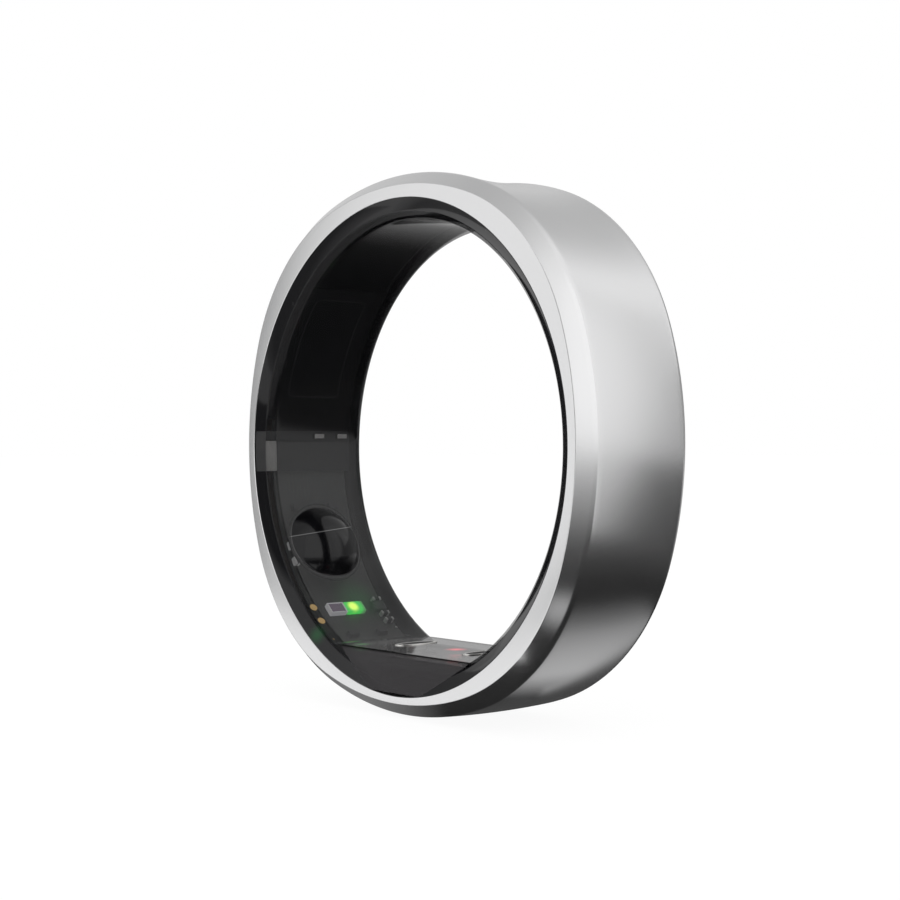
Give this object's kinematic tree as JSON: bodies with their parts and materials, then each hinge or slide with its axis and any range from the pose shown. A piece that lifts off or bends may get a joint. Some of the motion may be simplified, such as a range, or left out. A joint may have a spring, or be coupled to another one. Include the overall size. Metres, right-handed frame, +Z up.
{
  "type": "smart ring",
  "caption": "Wearable finger ring with a titanium band, a dark clear liner over its electronics, and raised optical sensors on the inside.",
  "frame": {"origin": "centre of the outer shell's box, on the band's mid-plane", "axes": "ring standing upright: +Y along the finger bore from the front edge to the back edge, +Z up with the sensor platform at the bottom, +X to the right seen from the front"},
  "size_m": [0.0258, 0.0068, 0.0256],
  "materials": {
    "outer_shell": null,
    "resin_liner": "dark clear epoxy, polished",
    "sensor_platform": "dark clear epoxy, polished",
    "left_dome_lens": "dark clear epoxy, polished",
    "right_dome_lens": "dark clear epoxy, polished",
    "battery_cell": "laminated pouch foil, dark",
    "battery_film": "thin dark film",
    "battery_adhesive": "adhesive sheet",
    "positive_tab": "nickel strip",
    "negative_tab": "nickel strip",
    "insulating_tape": "grey polyimide tape",
    "ground_tab": "tinned steel",
    "flex_circuit": "black-green solder mask",
    "shell_insulator": "amber polyimide film",
    "bluetooth_chip": "moulded chip package",
    "memory_chip": "moulded chip package",
    "power_chip": "moulded chip package",
    "accelerometer": "moulded sensor package",
    "crystal": "metal can",
    "protection_chip": "moulded chip package",
    "chip_antenna": "ceramic block",
    "sensor_driver_chip": "moulded chip package",
    "green_led": "clear package, lit green",
    "side_photodiode": "silver-edged clear package",
    "led_switch_chip": "moulded chip package",
    "left_dome_photodiode": "clear package over a dark die",
    "right_dome_photodiode": "clear package over a dark die",
    "sensor_board": "rigid circuit board",
    "board_connectors": "moulded connector",
    "front_end_chip": "moulded chip package",
    "red_led": "clear package, lit red",
    "infrared_led": "clear package",
    "platform_photodiode": "clear package over a dark die",
    "left_charging_contact": "plated contact",
    "right_charging_contact": "plated contact",
    "test_pads": "gold-plated pads",
    "chip_capacitors": "ceramic chips with tinned ends",
    "chip_resistors": "black chips with tinned ends"
  },
  "bodies": {
    "root": {"outer_shell": "outer_shell", "resin_liner": "resin_liner", "sensor_platform": "sensor_platform", "left_dome_lens": "left_dome_lens", "right_dome_lens": "right_dome_lens", "battery_cell": "battery_cell", "battery_film": "battery_film", "battery_adhesive": "battery_adhesive", "positive_tab": "positive_tab", "negative_tab": "negative_tab", "insulating_tape": "insulating_tape", "ground_tab": "ground_tab", "flex_circuit": "flex_circuit", "shell_insulator": "shell_insulator", "bluetooth_chip": "bluetooth_chip", "memory_chip": "memory_chip", "power_chip": "power_chip", "accelerometer": "accelerometer", "crystal": "crystal", "protection_chip": "protection_chip", "chip_antenna": "chip_antenna", "sensor_driver_chip": "sensor_driver_chip", "green_led": "green_led", "side_photodiode": "side_photodiode", "led_switch_chip": "led_switch_chip", "left_dome_photodiode": "left_dome_photodiode", "right_dome_photodiode": "right_dome_photodiode", "sensor_board": "sensor_board", "board_connectors": "board_connectors", "front_end_chip": "front_end_chip", "red_led": "red_led", "infrared_led": "infrared_led", "platform_photodiode": "platform_photodiode", "left_charging_contact": "left_charging_contact", "right_charging_contact": "right_charging_contact", "test_pads": "test_pads", "chip_capacitors": "chip_capacitors", "chip_resistors": "chip_resistors"}
  },
  "joints": []
}
